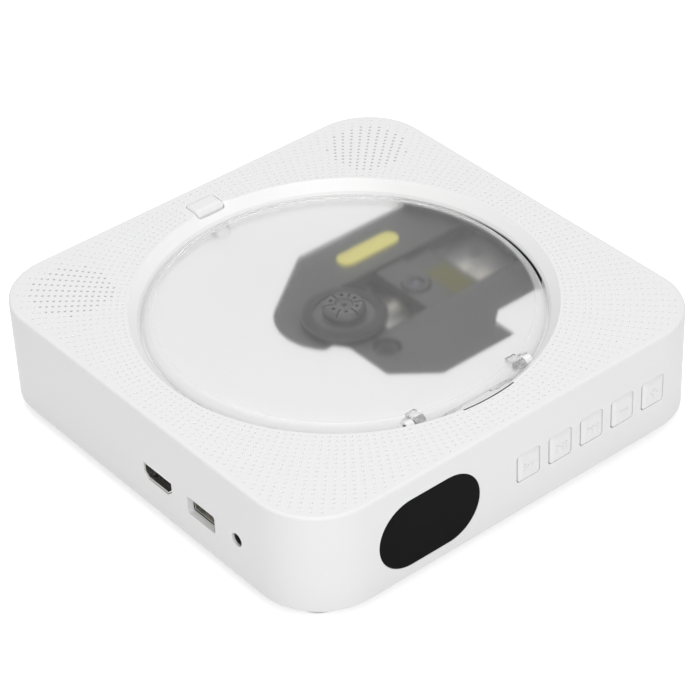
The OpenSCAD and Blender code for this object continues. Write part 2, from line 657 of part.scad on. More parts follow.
// Sled of the laser unit, its lens lens_x from the spindle
module sled() color("dimgray") translate([lens_x, 0, 0]) difference() {
    length = sled_x[1] - sled_x[0];
    union() {
        translate([sled_x[0], -12.6, lvl(sled_foot_d)]) cube([12.5, 27, sled_foot_d - sled_d]);
        translate([6, -12.6, lvl(sled_foot_d)]) cube([12.5, 27, sled_foot_d - sled_back_d]);
        translate([sled_x[0], -20, lvl(sled_foot_d)]) cube([length, 40, 2]);
        translate([sled_x[0], 15, lvl(rod_d + 2.3)]) cube([length, 5, 4.5]);
        translate([sled_x[0], -20, lvl(rod_d + 2.3)]) cube([length, 4.9, 4.5]);
    }
    translate([0, 0, lvl(14.8)]) cylinder(r = 5.3, h = 10);
    // bore on one rod, open fork on the other
    translate([-10, rod_y[0], lvl(rod_d)]) rotate([0, 90, 0]) cylinder(r = rod_r + 0.05, h = 40);
    translate([-10, rod_y[1] - 5, lvl(rod_d + rod_r + 0.05)]) cube([40, 5, 2 * rod_r + 0.1]);
    translate([-10, rod_y[1], lvl(rod_d)]) rotate([0, 90, 0]) cylinder(r = rod_r + 0.05, h = 40);
    // hollow under the flexible cable
    translate([8, -9, lvl(sled_back_d + 1.2)]) cube([8, 12, 4]);
}

module sled_flex() color("goldenrod") translate([lens_x + 7, -11.5, lvl(sled_back_d)]) cube([10, 16, 0.3]);

module lens_holder() color("black") translate([lens_x, 0, 0]) difference() {
    translate([0, 0, lvl(14.2)]) cylinder(r = 4.6, h = 4.4);
    translate([0, 0, lvl(10.4)]) cylinder(r = 3, h = 4);
}

module lens() color("lightblue") translate([lens_x, 0, lvl(10.4)])
    rotate_extrude() polygon(concat([[0, 0], [3, 0], [3, 0.3]], arc(0, -3.6, 4.9, 60, 90, 6)));

// Involute gear outline of n teeth, with play between the teeth
function inv(a) = tan(a) * 180 / PI - a;
function gear_points(n, m) =
    let (r = m * n / 2, rb = r * cos(20), ra = r + 0.9 * m, rr = r - 1.25 * m,
         half = 90 / n * 0.86, steps = 4, r0 = max(rb, rr))
    [for (t = [0:n - 1], s = [-1, 1]) each
        let (flank = [for (i = [0:steps]) let (q = r0 + (ra - r0) * i / steps,
                          a = half + inv(20) - inv(acos(min(1, rb / q)))) [q, a]],
             foot = [[rr, flank[0][1]]],
             side = rr < rb ? concat(foot, flank) : flank)
        [for (i = [0:len(side) - 1]) let (p = side[s < 0 ? i : len(side) - 1 - i], w = 360 / n * t + s * p[1])
            [p[0] * cos(w), p[0] * sin(w)]]];

module sled_rack() color("white") {
    pitch = PI * gear_m;
    y = gear_y + small_r;
    translate([0, 0, lvl(rack_d)]) linear_extrude(rack_d - sled_foot_d) {
        translate([gear_x - 26.5, y + 1.25 * gear_m]) square([37.3, 2.4]);
        for (k = [-17:6]) translate([gear_x + (k + 0.5) * pitch, y])
            polygon([[-0.12 * pitch, -0.9 * gear_m], [0.12 * pitch, -0.9 * gear_m],
                     [0.31 * pitch, 1.25 * gear_m], [0.31 * pitch, 2 * gear_m],
                     [-0.31 * pitch, 2 * gear_m], [-0.31 * pitch, 1.25 * gear_m]]);
    }
}

module drive_gear() color("white") translate([gear_x, gear_y, 0]) difference() {
    union() {
        translate([0, 0, lvl(wheel_d)]) linear_extrude(wheel_t) polygon(gear_points(wheel_teeth, gear_m));
        translate([0, 0, lvl(wheel_d) + wheel_t - eps]) rotate(90)
            linear_extrude(wheel_d - wheel_t - sled_foot_d - 0.3) polygon(gear_points(rack_teeth, gear_m));
    }
    translate([0, 0, lvl(wheel_d + 1)]) cylinder(r = 1.25, h = 8);
    for (a = [30:60:330]) rotate(a) translate([6.6, 0, lvl(wheel_d + 1)]) cylinder(r = 1.6, h = 3.5);
}

module motor_pinion() color("white") translate([pinion_x, gear_y, lvl(wheel_d + 0.1)]) difference() {
    linear_extrude(2) polygon(gear_points(pinion_teeth, gear_m));
    translate([0, 0, -1]) cylinder(r = 0.75, h = 8);
}

module motor_plate() color("silver") difference() {
    union() {
        translate([15, -23.3, lvl(plate_d + plate_t)]) cube([65, 46.6, plate_t]);
        translate([gear_x, gear_y, lvl(plate_d + eps)]) cylinder(r = 1.2, h = plate_d - sled_foot_d - 0.5);
    }
    translate([pinion_x, gear_y, lvl(plate_d + 3)]) cylinder(r = 3, h = 8);
    for (y = [-14, 12], x = [56, 70]) translate([x, y, lvl(plate_d + 3)]) cylinder(r = 2.2, h = 8);
}

module sled_motor() color("silver") translate([pinion_x, gear_y, 0]) {
    translate([0, 0, lvl(plate_d + plate_t)]) mirror([0, 0, 1])
        rotate_extrude() polygon([[0, 0], [11.6, 0], [motor_r, 0.6], [motor_r, 10.4], [11.6, 11], [0, 11]]);
    translate([0, 0, lvl(plate_d + plate_t + eps)]) cylinder(r = 2.9, h = 1.2);
    translate([0, 0, lvl(plate_d + plate_t)]) cylinder(r = 0.7, h = plate_t + 2.6);
}

module yellow_strip() color("yellow") translate([32.4, 26.3, lvl(deck_d + eps)])
    linear_extrude(0.5) rounded(26, 7.4, 3.6);

top_shell();
grille_panel();
disc_well();
bottom_plate();
foot_front_left();
foot_front_right();
foot_back_left();
foot_back_right();
case_screws();
lid();
hinge_pins();
open_button();
open_spring();
lid_latch();
display_window();
display_module();
key_1();
key_2();
key_3();
key_4();
key_5();
key_board();
key_switches();
main_board();
board_chips();
board_capacitors();
board_screws();
hdmi_socket();
hdmi_tongue();
usb_socket();
usb_tongue();
audio_socket();
power_inlet();
power_pin();
speaker_frame_left();
speaker_cone_left();
speaker_magnet_left();
speaker_frame_right();
speaker_cone_right();
speaker_magnet_right();
deck_frame();
deck_grommets();
deck_screws();
spindle_motor();
spindle_shaft();
turntable();
turntable_pad();
disc_hub();
guide_rods();
sled();
sled_rack();
sled_flex();
lens_holder();
lens();
motor_plate();
sled_motor();
motor_pinion();
drive_gear();
yellow_strip();
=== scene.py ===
import bmesh
import bpy
import numpy as np
from mathutils import Matrix, Vector
from mathutils.geometry import delaunay_2d_cdt


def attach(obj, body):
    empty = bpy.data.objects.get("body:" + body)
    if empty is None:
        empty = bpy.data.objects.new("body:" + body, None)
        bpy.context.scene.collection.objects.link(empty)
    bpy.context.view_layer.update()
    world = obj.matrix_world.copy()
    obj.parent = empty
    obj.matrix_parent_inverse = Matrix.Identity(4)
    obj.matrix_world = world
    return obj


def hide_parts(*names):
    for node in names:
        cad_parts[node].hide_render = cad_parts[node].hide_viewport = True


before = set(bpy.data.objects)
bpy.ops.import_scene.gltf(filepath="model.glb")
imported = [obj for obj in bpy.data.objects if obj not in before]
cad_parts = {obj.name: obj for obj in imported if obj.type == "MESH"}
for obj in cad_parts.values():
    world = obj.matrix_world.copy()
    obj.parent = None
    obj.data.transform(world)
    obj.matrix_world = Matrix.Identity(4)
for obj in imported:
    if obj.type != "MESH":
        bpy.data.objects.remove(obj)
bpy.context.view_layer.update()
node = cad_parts
scene = bpy.context.scene

# ---------------------------------------------------------------- camera, ground and light
# The player lies on a plain white table and is seen from its front left corner, from
# about 0.93 m away. A soft lamp hangs over its back half, and a larger one stands off the
# near corner and lights its two sides.

body_width, feet = 0.175, 0.0040

# The eye's direction and its distance in widths of the body. Focal length and shifts are
# counted in points of the picture.
azimuth, elevation, roll = np.radians([-38.256, 37.861, -2.544])
eye_away = 5.3177
picture_side, sensor_side = 700, 36
focal_length, shift_right, shift_up = 2707.47, 2.43, 38.1

back = np.array([np.sin(azimuth) * np.cos(elevation),
                 -np.cos(azimuth) * np.cos(elevation),
                 np.sin(elevation)])
level = np.array([np.cos(azimuth), np.sin(azimuth), 0.0])
upright = np.cross(back, level)
right = level * np.cos(roll) + upright * np.sin(roll)
up = -level * np.sin(roll) + upright * np.cos(roll)
eye = back * eye_away * body_width + np.array([0, 0, feet])

camera = bpy.data.objects.new("camera", bpy.data.cameras.new("camera"))
scene.collection.objects.link(camera)
camera.matrix_world = Matrix([[right[i], up[i], back[i], eye[i]] for i in range(3)] + [[0, 0, 0, 1]])
camera.data.sensor_width = sensor_side
camera.data.lens = focal_length / picture_side * sensor_side
camera.data.shift_x = shift_right / picture_side
camera.data.shift_y = shift_up / picture_side
camera.data.clip_start, camera.data.clip_end = 0.05, 20
scene.camera = camera
scene.view_settings.view_transform = "Standard"


class Shade:
    """A value in a node tree. Arithmetic on it adds Math nodes, and add() makes any other node."""

    def __init__(self, tree, out=None):
        self.tree, self.out = tree, out

    def add(self, kind, settings=None, sockets=None, take=0):
        """A node from its type, its settings, the values or links of its sockets, and the output to take."""
        made = self.tree.nodes.new("ShaderNode" + kind)
        for name, value in (settings or {}).items():
            setattr(made, name, value)
        for name, value in (sockets or {}).items():
            if isinstance(value, Shade):
                self.tree.links.new(value.out, made.inputs[name])
            else:
                made.inputs[name].default_value = value
        return Shade(self.tree, made.outputs[take])

    def maths(self, operation, first, second=0.0):
        return self.add("Math", {"operation": operation}, {0: first, 1: second})

    def mix(self, factor, first, second):
        """The colour first where factor is 0, second where it is 1."""
        return self.add("Mix", {"data_type": "RGBA"}, {0: factor, 6: first, 7: second}, take=2)

    def __add__(self, other):
        return self.maths("ADD", self, other)

    def __sub__(self, other):
        return self.maths("SUBTRACT", self, other)

    def __rsub__(self, other):
        return self.maths("SUBTRACT", other, self)

    def __mul__(self, other):
        return self.maths("MULTIPLY", self, other)

    def __gt__(self, other):
        return self.maths("GREATER_THAN", self, other)

    __radd__ = __add__
    __rmul__ = __mul__


def any_ray(tree, *kinds):
    """1 for a ray of one of these kinds, 0 for every other ray: the sum of their flags, but 1 at most."""
    rays = [Shade(tree).add("LightPath", take=f"Is {kind} Ray") for kind in kinds]
    return rays[0].maths("MINIMUM", sum(rays[1:], rays[0]), 1.0)


# What the camera, a mirror or clear plastic sees of the room and the table is white. The
# light that these throw on the player is weaker.
seen = ("Camera", "Glossy", "Transmission")
white, black = (1, 1, 1, 1), (0, 0, 0, 1)
room_light = 0.47
table_half, table_pale, table_glow, table_rough, table_gloss = 6, (0.8, 0.8, 0.8, 1), 0.4, 0.9, 0.1

world = scene.world or bpy.data.worlds.new("room")
scene.world = world
world.use_nodes = True
tree = world.node_tree
tree.nodes.clear()
direct = any_ray(tree, *seen)
brightness = room_light + direct * (1 - room_light)
sky = direct.add("Background", sockets={"Color": white, "Strength": brightness})
tree.links.new(sky.out, tree.nodes.new("ShaderNodeOutputWorld").inputs["Surface"])

ground_mesh = bpy.data.meshes.new("ground")
corners = [(x * table_half, y * table_half, 0) for x, y in [(-1, -1), (1, -1), (1, 1), (-1, 1)]]
ground_mesh.from_pydata(corners, [], [(0, 1, 2, 3)])
ground = bpy.data.objects.new("ground", ground_mesh)
scene.collection.objects.link(ground)
paper = bpy.data.materials.new("white_table")
paper.use_nodes = True
tree = paper.node_tree
principled = tree.nodes["Principled BSDF"]
principled.inputs["Roughness"].default_value = table_rough
principled.inputs["Specular IOR Level"].default_value = table_gloss
direct = any_ray(tree, *seen)
tree.links.new(direct.mix(direct, table_pale, white).out, principled.inputs["Base Color"])
tree.links.new(direct.mix(direct, black, white).out, principled.inputs["Emission Color"])
principled.inputs["Emission Strength"].default_value = table_glow
ground_mesh.materials.append(paper)


def lamp(name, place, size, power):
    """A square soft lamp at place, turned to the middle of the object."""
    middle = Vector((0, 0, 0.03))
    data = bpy.data.lights.new(name, "AREA")
    data.size, data.energy = size, power
    made = bpy.data.objects.new(name, data)
    scene.collection.objects.link(made)
    made.location = place
    made.rotation_euler = (middle - Vector(place)).to_track_quat("-Z", "Y").to_euler()


lamp("overhead_lamp", (0.2, 0.35, 1.45), 0.8, 8.8)
lamp("corner_lamp", (-0.65, -1.07, 0.75), 1.2, 10.2)


# ---------------------------------------------------------------- top shell
# One moulding of white ABS: four walls with round corners and a rounded top edge. Its
# spark-eroded face has a fine satin grain. The bottom plate is moulded from the same.

body_half, body_high = body_width / 2, 0.0384
top = feet + body_high


def finish(name, colour, roughness, grain=0.0, grain_size=0.0004, blotch=0.02, metallic=0.0, gloss=0.5):
    """A moulded, painted or drawn surface. Noise in soft clouds changes its colour by the share blotch each
    way, and its roughness with it. Noise of grain_size raises bumps of the height grain, both in metres. A
    gloss of 0.5 reflects as plain plastic does."""
    clouds_a_metre, spread = 55.0, 0.3
    material = bpy.data.materials.new(name)
    material.use_nodes = True
    tree = material.node_tree
    surface = tree.nodes["Principled BSDF"]
    shade = Shade(tree)
    place = shade.add("TexCoord", take="Object")
    cloud = shade.add("TexNoise", sockets={"Vector": place, "Scale": clouds_a_metre, "Detail": 3.0})
    dark = [c * (1 - blotch) for c in colour] + [1]
    light = [min(1, c * (1 + blotch)) for c in colour] + [1]
    tree.links.new(shade.mix(cloud, dark, light).out, surface.inputs["Base Color"])
    uneven = cloud * (roughness * spread) + roughness * (1 - spread / 2)
    tree.links.new(uneven.out, surface.inputs["Roughness"])
    surface.inputs["Metallic"].default_value = metallic
    surface.inputs["Specular IOR Level"].default_value = gloss
    if grain:
        fine = shade.add("TexNoise", sockets={"Vector": place, "Scale": 1 / grain_size, "Detail": 2.0})
        bump = shade.add("Bump", sockets={"Height": fine, "Distance": grain, "Strength": 1.0})
        tree.links.new(bump.out, surface.inputs["Normal"])
    return material


def dress(material, slot, *names):
    """Gives the named CAD nodes their material. The slot is not used."""
    for name in names:
        piece = node[name]
        piece.data.materials.clear()
        piece.data.materials.append(material)


def lay_mesh(name, solid, material, body, slot, *nodes_replaced, smooth=True):
    """A new piece from the points and faces of a solid, on its body, in place of the named CAD nodes. The
    slot is not used. Points that no face uses are left out. On a smooth piece, edges that turn by more than
    crisp_from, in radians, stay crisp."""
    crisp_from = 0.6
    points, faces = solid
    used, corner = np.unique(np.concatenate([np.asarray(face) for face in faces]), return_inverse=True)
    ends = np.cumsum([len(face) for face in faces])
    faces = [part.tolist() for part in np.split(corner, ends[:-1])]
    mesh = bpy.data.meshes.new(name)
    mesh.from_pydata(np.asarray(points)[used].tolist(), [], faces)
    mesh.update()
    mesh.materials.append(material)
    mesh.polygons.foreach_set("use_smooth", np.full(len(mesh.polygons), smooth))
    if smooth:
        mesh.set_sharp_from_angle(angle=crisp_from)
    piece = bpy.data.objects.new(name, mesh)
    scene.collection.objects.link(piece)
    if nodes_replaced:
        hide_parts(*nodes_replaced)
    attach(piece, body)
    return piece


# Differences that count as none: where points are picked out, and where they are merged.
slack, tiny = 0.00001, 1e-6


def reshaped(name, source, move, material, body, slot):
    """A copy of a CAD node's mesh with its points merged and moved, in that node's place."""
    shape = bmesh.new()
    shape.from_mesh(node[source].data)
    bmesh.ops.remove_doubles(shape, verts=shape.verts, dist=tiny)
    points = np.array([point.co for point in shape.verts])
    faces = [[point.index for point in face.verts] for face in shape.faces]
    shape.free()
    return lay_mesh(name, (move(points), faces), material, body, slot, source)


# Widths across the rim, inwards from the side wall: the rounded edge, and this edge with
# the flat rim inside it, first on the solid and then as they are drawn here.
shell_corner = 0.0239
solid_round, solid_rim = 0.0014, 0.0022
round_edge, flat_rim = 0.0010, 0.0016
panel_thick = 0.0018


def narrow_rim(points):
    """Moves the points of the rim outwards, so that its widths on the solid become those drawn here, with
    what lies between them in proportion. The rounded edge gets lower by the same proportion."""
    past = np.maximum(np.abs(points[:, :2]) - (body_half - shell_corner), 0)
    reach = np.hypot(past[:, 0], past[:, 1])
    inset, depth = shell_corner - reach, top - points[:, 2]
    outwards = np.sign(points[:, :2]) * past / np.maximum(reach, tiny)[:, None]
    near = (inset < solid_rim + slack) & (depth < panel_thick + slack)
    drawn = np.interp(inset, [0, solid_round, solid_rim], [0, round_edge, flat_rim])
    shift = np.where(near, inset - drawn, 0)
    rounded = near & (inset < solid_round + slack) & (depth < solid_round + slack)
    height = np.where(rounded, top - depth * round_edge / solid_round, points[:, 2])
    return np.c_[points[:, :2] + outwards * shift[:, None], height]


shell_white = finish("satin_white_abs", (0.80, 0.80, 0.80), 0.42, grain=0.00002, blotch=0.006)
dress(shell_white, "shell_white", "bottom_plate")
reshaped("top_moulding", "top_shell", narrow_rim, shell_white, "housing", "shell_white")


# ---------------------------------------------------------------- disc well
# The same white ABS, polished smoother than the shell: the floor under the disc, the
# sloped rim, and the two ears of the hinge.

button = np.array([-0.0005, 0.0757])
button_reach, ease = 0.0062, 0.002
well_edge = 0.0750
slope_radii, slope_shifts = [0.0688, 0.0739, well_edge, 0.0752], [0, 0.0013, 0.0017, 0]
slope_depth = 0.0035


def draw_in_crest(points):
    """Moves the points of the slope inwards, by slope_shifts where they are at slope_radii and by what lies
    between elsewhere. Beside the open button they stay, and over the width ease the shift grows to full."""
    radius, depth = np.hypot(points[:, 0], points[:, 1]), top - points[:, 2]
    from_button = np.abs(points[:, 0] - button[0]) - button_reach
    share = np.where(points[:, 1] > 0, np.clip(from_button / ease, 0, 1), 1)
    shift = share * np.interp(radius, slope_radii, slope_shifts) * (depth < slope_depth)
    return np.c_[points[:, :2] * (1 - shift / np.maximum(radius, tiny))[:, None], points[:, 2]]


def paint_light_between(material, low, high, colour):
    """Paints the colour on what lies between two heights. It is painted light: a paler white standing in for
    light that the lamps bring there too little of.
    """
    tree = material.node_tree
    surface = tree.nodes["Principled BSDF"]
    shade = Shade(tree, surface.inputs["Base Color"].links[0].from_socket)
    place = shade.add("TexCoord", take="Object")
    height = shade.add("SeparateXYZ", sockets={"Vector": place}, take="Z")
    within = (height > low) * (high - height > 0.0)
    tree.links.new(shade.mix(within, shade, (*colour, 1)).out, surface.inputs["Base Color"])


# The upper part of the sloped rim is painted a paler white: painted light, for a face turned from the lamps.
slope_painted_light_depth = 0.0036
well_white = finish("smooth_white_abs", (0.81, 0.81, 0.81), 0.3, blotch=0.004)
paint_light_between(well_white, top - slope_painted_light_depth, top - slack, (0.9, 0.9, 0.9))
dress(well_white, "well_white", "lid_latch")
reshaped("well_moulding", "disc_well", draw_in_crest, well_white, "housing", "well_white")


# ---------------------------------------------------------------- perforated panel
# A flat sheet of the same white ABS let into the top, with 200 holes in every ring round
# the well, one behind the other along the spokes.

def rounded_outline(half_x, half_y, radius, steps, centre=(0, 0)):
    """Points, anticlockwise, of a rectangle with round corners: about the axis of each corner, a quarter
    circle of as many spans as steps says."""
    turn = np.radians(np.linspace(0, 90, steps + 1))
    corners = []
    for k, (sx, sy) in enumerate([(1, 1), (-1, 1), (-1, -1), (1, -1)]):
        t = turn + k * np.pi / 2
        corners.append(np.stack([sx * (half_x - radius) + radius * np.cos(t),
                                 sy * (half_y - radius) + radius * np.sin(t)], 1))
    return np.concatenate(corners) + np.array(centre)


# The panel and the plain margin along its edge; its holes, which are blind where no cone
# lies below, and the depth down to which their insides are painted paler, as painted light;
# the rings; the plain room round the open button, wider in the first ring; the reach of the
# two speaker cones; and the notch that lets the button through.
panel_half, panel_corner, panel_steps, margin = 0.0859, 0.0223, 16, 0.0009
hole_r, hole_sides, blind, hole_painted_light_depth = 0.0005, 12, 0.0006, 0.0020
rings, ring_step, first_ring, spokes = 20, 0.00214, 0.07412, 200
room_first, room_x, room_y = 0.0100, 0.0072, 0.0052
cone_place, cone_reach = 0.0655, 0.0145
notch_x, notch_y, notch_corner, notch_steps = 0.006, 0.00395, 0.0012, 4

ring = np.repeat(np.arange(rings), spokes)
angle = np.radians(360 / spokes * np.tile(np.arange(spokes), rings))
centres = (first_ring + ring_step * ring)[:, None] * np.stack([np.cos(angle), np.sin(angle)], 1)
# Distance in from the panel's edge: along the sides, and from the axes of its round corners.
past = np.maximum(np.abs(centres) - (panel_half - panel_corner), 0)
inside = panel_corner - np.hypot(past[:, 0], past[:, 1]) > margin
room = np.stack([np.where(ring == 0, room_first, room_x), np.full(len(ring), room_y)], 1)
clear = np.any(np.abs(centres - button) > room, axis=1)
centres = centres[inside & clear]
over_cone = np.hypot(np.abs(centres[:, 0]) - cone_place, centres[:, 1] - cone_place) < cone_reach
spoke = np.radians(np.arange(hole_sides) * 360 / hole_sides)
holes = centres[:, None, :] + hole_r * np.stack([np.cos(spoke), np.sin(spoke)], 1)[None]

# The opening's edge follows the well, and steps out round the open button.
edge = np.array([point.co for point in node["disc_well"].data.vertices])
on_circle = np.abs(np.hypot(edge[:, 0], edge[:, 1]) - well_edge) < 2 * slack
edge = edge[on_circle & (top - edge[:, 2] < slack)]
edge = np.unique(np.round(draw_in_crest(edge)[:, :2], 7), axis=0)
turn = np.arctan2(edge[:, 1], edge[:, 0]) % (2 * np.pi)
edge, turn = edge[np.argsort(turn)], np.sort(turn)
notch = rounded_outline(notch_x, notch_y, notch_corner, notch_steps, button)[:2 * (notch_steps + 1)]
before = turn < np.arctan2(button[1], button[0])
opening = np.concatenate([edge[before], notch, edge[~before]])

# All outlines as one list of points, each point joined to the next of its own outline, and
# the sheet between them as triangles. The triangulation works in mm.
loops = [rounded_outline(panel_half, panel_half, panel_corner, panel_steps), opening] + list(holes)
flat = np.concatenate(loops)
loop_of = np.repeat(np.arange(len(loops)), [len(loop) for loop in loops])
start = np.concatenate([[0], np.cumsum([len(loop) for loop in loops])])
following = np.arange(len(flat)) + 1
following[start[1:] - 1] = start[:-1]
rims = np.stack([np.arange(len(flat)), following], 1)
in_mm = [Vector(p) for p in flat * 1000]
_, _, sheet, kept, _, _ = delaunay_2d_cdt(in_mm, rims.tolist(), [], 0, tiny)
sheet = np.array([k[0] for k in kept])[np.array(sheet)]
area = np.cross(flat[sheet[:, 1]] - flat[sheet[:, 0]], flat[sheet[:, 2]] - flat[sheet[:, 0]])
sheet[area < 0] = sheet[area < 0][:, ::-1]

# A triangle whose corners are all on one loop fills it: the well's and the cones' holes stay
# open, and the other holes have a floor a little below the top.
same = (loop_of[sheet] == loop_of[sheet][:, :1]).all(1)
through = np.concatenate([[False, True], over_cone])
is_open = same & (loop_of[sheet[:, 0]] > 0)
count = len(flat)
points = np.concatenate([np.c_[flat, np.full(count, z)] for z in (top, top - panel_thick, top - blind)])
behind, ahead = rims.T
down = np.where(through[loop_of[behind]] | (loop_of[behind] == 0), count, 2 * count)
walls = np.c_[behind, ahead, ahead + down, behind + down]
outer = loop_of[behind] == 0
walls[outer] = walls[outer][:, ::-1]
floors = sheet[is_open & ~through[loop_of[sheet[:, 0]]]] + 2 * count
under = sheet[~(is_open & through[loop_of[sheet[:, 0]]])][:, ::-1] + count
sheet = sheet[~is_open]

panel_white = finish("satin_white_panel", (0.80, 0.80, 0.80), 0.45, grain=0.00001, blotch=0.006)
# The walls and floors of the holes are painted a paler white: painted light, for light that gathers between
# their white walls.
paint_light_between(panel_white, top - hole_painted_light_depth, top - slack, (0.96, 0.96, 0.96))
panel = (points, [*sheet, *under, *floors, *walls])
lay_mesh("perforated_panel", panel, panel_white, "housing", "shell_white", "grille_panel", smooth=False)


# ---------------------------------------------------------------- painted shade of the slot in the crest
# At the middle of the hinge the crest has a narrow slot along its edge, moulded in the
# white ABS. Its dark inside is painted shade: a thin black strip laid in the crest, just proud of it.

def prism(outline, low, high):
    """A closed prism of an anticlockwise outline, from z = low to z = high."""
    outline = np.asarray(outline, float)
    n = len(outline)
    points = np.concatenate([np.c_[outline, np.full(n, z)] for z in (low, high)])
    i = np.arange(n)
    k = (i + 1) % n
    return points, [i[::-1], i + n, *np.stack([i, k, k + n, i + n], 1)]


# The middle of the slot's painted shade strip and its reach to each side in degrees, its two radii, and its
# depth.
hinge_turn, slot_reach, slot_points = 270, 8.4, 25
slot_outside, slot_inside = 0.07335, 0.07290
slot_deep, slot_proud = 0.0006, 0.00003

slot_turn = np.radians(hinge_turn + np.linspace(-slot_reach, slot_reach, slot_points))
arc = np.stack([np.cos(slot_turn), np.sin(slot_turn)], 1)
slot = prism(np.concatenate([arc * slot_outside, arc[::-1] * slot_inside]), top - slot_deep, top + slot_proud)
slot_painted_shade = finish("painted_slot_shade", (0.03, 0.03, 0.03), 0.9, blotch=0.1, gloss=0.1)
lay_mesh("crest_gap_painted_shade", slot, slot_painted_shade, "housing", "black_plastic")


# ---------------------------------------------------------------- feet and screws
# Soft grey rubber discs let into the bottom plate, and the zinc plated screws of the case
# and of the boards.

foot_rubber = finish("grey_foot_rubber", (0.55, 0.55, 0.55), 0.75, grain=0.00004, blotch=0.04)
dress(foot_rubber, "rubber_grey", "foot_front_left", "foot_front_right", "foot_back_left", "foot_back_right")
zinc = finish("zinc_plate", (0.55, 0.56, 0.58), 0.35, blotch=0.05, metallic=1.0)
dress(zinc, "steel", "case_screws", "board_screws")


# ---------------------------------------------------------------- lid
# Clear acrylic, slightly hazed, so that the black drive shows grey and soft through it. It
# turns on two dark steel pins, and the latch holds it by its nose.

def turned(profile, turns, reach):
    """A closed body turned about Z. Its (radius, depth) points in mm run from the axis over the top and the
    outside and back to the axis below. Column k stands at turns[k] degrees: what would lie further out
    there than reach[k] is brought in to it, and up to cut_depth if it is deeper."""
    cut_depth = 3.4
    profile = np.array(profile)
    turn = np.radians(turns)[:, None]
    reach = np.asarray(reach)[:, None]
    r, depth = profile[1:-1].T
    cut = r > reach
    radius = np.where(cut, reach, r) / 1000
    height = top - np.where(cut, np.minimum(depth, cut_depth), depth) / 1000
    grid = np.stack([radius * np.cos(turn), radius * np.sin(turn), height], 2)
    n, m = radius.shape
    i, j = [k.ravel() for k in np.meshgrid(np.arange(n), np.arange(m - 1), indexing="ij")]
    following = (i + 1) % n
    skin = np.stack([i * m + j, i * m + j + 1, following * m + j + 1, following * m + j], 1)
    i, following = np.arange(n), (np.arange(n) + 1) % n
    crown = np.stack([np.full(n, n * m), i * m, following * m], 1)
    base = np.stack([np.full(n, n * m + 1), following * m + m - 1, i * m + m - 1], 1)
    axis = [[0, 0, top - profile[0, 1] / 1000], [0, 0, top - profile[-1, 1] / 1000]]
    return np.concatenate([grid.reshape(-1, 3), axis]), [*skin, *crown, *base]


def joined(*solids):
    """Several solids as one list of points and one of faces."""
    points, faces, count = [], [], 0
    for part_points, part_faces in solids:
        points.append(part_points)
        faces += [np.asarray(face) + count for face in part_faces]
        count += len(part_points)
    return np.concatenate(points), faces


def clear_plastic(name, disc_rough, disc_milk, edge_rough, edge_milk, tint):
    """Clear plastic, with one roughness and share of milky haze over the disc and others outside it, and
    more haze along the rim, which is partly a painted highlight: it makes the bright line along the edge.
    Light passes through it as through thin glass."""
    material = bpy.data.materials.new(name)
    material.use_nodes = True
    tree = material.node_tree
    surface = tree.nodes["Principled BSDF"]
    shade = Shade(tree)
    surface.inputs["Transmission Weight"].default_value = 1.0
    surface.inputs["IOR"].default_value = 1.25
    surface.inputs["Base Color"].default_value = (*tint, 1)
    place = shade.add("TexCoord", take="Object")
    cloud = shade.add("TexNoise", sockets={"Vector": place, "Scale": 40.0, "Detail": 2.0})
    flat_place = shade.add("VectorMath", {"operation": "MULTIPLY"}, {0: place, 1: (1, 1, 0)})
    radius = shade.add("VectorMath", {"operation": "LENGTH"}, {0: flat_place}, take="Value")

    def band(start, end, first, last):
        """first within the radius start, last past the radius end, and a smooth change between them."""
        return shade.add("MapRange", {"interpolation_type": "SMOOTHSTEP"}, {
            "Value": radius, "From Min": start, "From Max": end, "To Min": first, "To Max": last})

    disc = band(0.0635, 0.0655, 1.0, 0.0)
    # Along the outer rim the haze rises: partly milky haze, partly a painted highlight for the bright line
    # along the lid's edge.
    rim = band(0.0668, 0.0674, 0.0, 0.35)
    uneven = edge_rough + disc * (disc_rough - edge_rough) + cloud * 0.02
    tree.links.new(uneven.out, surface.inputs["Roughness"])
    milk = shade.add("BsdfDiffuse", sockets={"Color": (0.80, 0.80, 0.80, 1)})
    milk_share = edge_milk + disc * (disc_milk - edge_milk) + rim
    hazed = shade.add("MixShader", sockets={0: milk_share, 1: Shade(tree, surface.outputs[0]), 2: milk})
    clear_way = shade.add("BsdfTransparent", sockets={"Color": (0.98, 0.98, 0.98, 1)})
    lighting = any_ray(tree, "Shadow", "Diffuse")
    blend = shade.add("MixShader", sockets={0: lighting, 1: hazed, 2: clear_way})
    tree.links.new(blend.out, tree.nodes["Material Output"].inputs["Surface"])
    return material


# In mm: a shallow dome, then the sloped edge and the way back under it to the same dome.
dome_r, dome_edge, dome_high, lid_thick = 64, 2, 1.6, 1.4
dome = [(r, dome_edge - dome_high * (1 - (r / dome_r) ** 2)) for r in (0, 8, 16, 24, 32, 40, 48, 56, 60)]
slope = [(62.5, 1.93), (64, 2.03), (64.9, 2.18), (65.5, 2.42), (66, 2.8), (66.5, 3.3), (67, 3.85),
         (67.45, 4.4), (67.75, 4.85), (67.9, 5.2), (67.86, 5.47), (67.7, 5.6), (67.05, 5.6),
         (66.9, 5.47), (66.75, 5.1), (66.3, 4.65), (65.7, 4.2), (65.1, 3.9), (64.5, 3.72), (63, 3.45)]
lid_profile = dome + slope + [(r, depth + lid_thick) for r, depth in dome[::-1]]

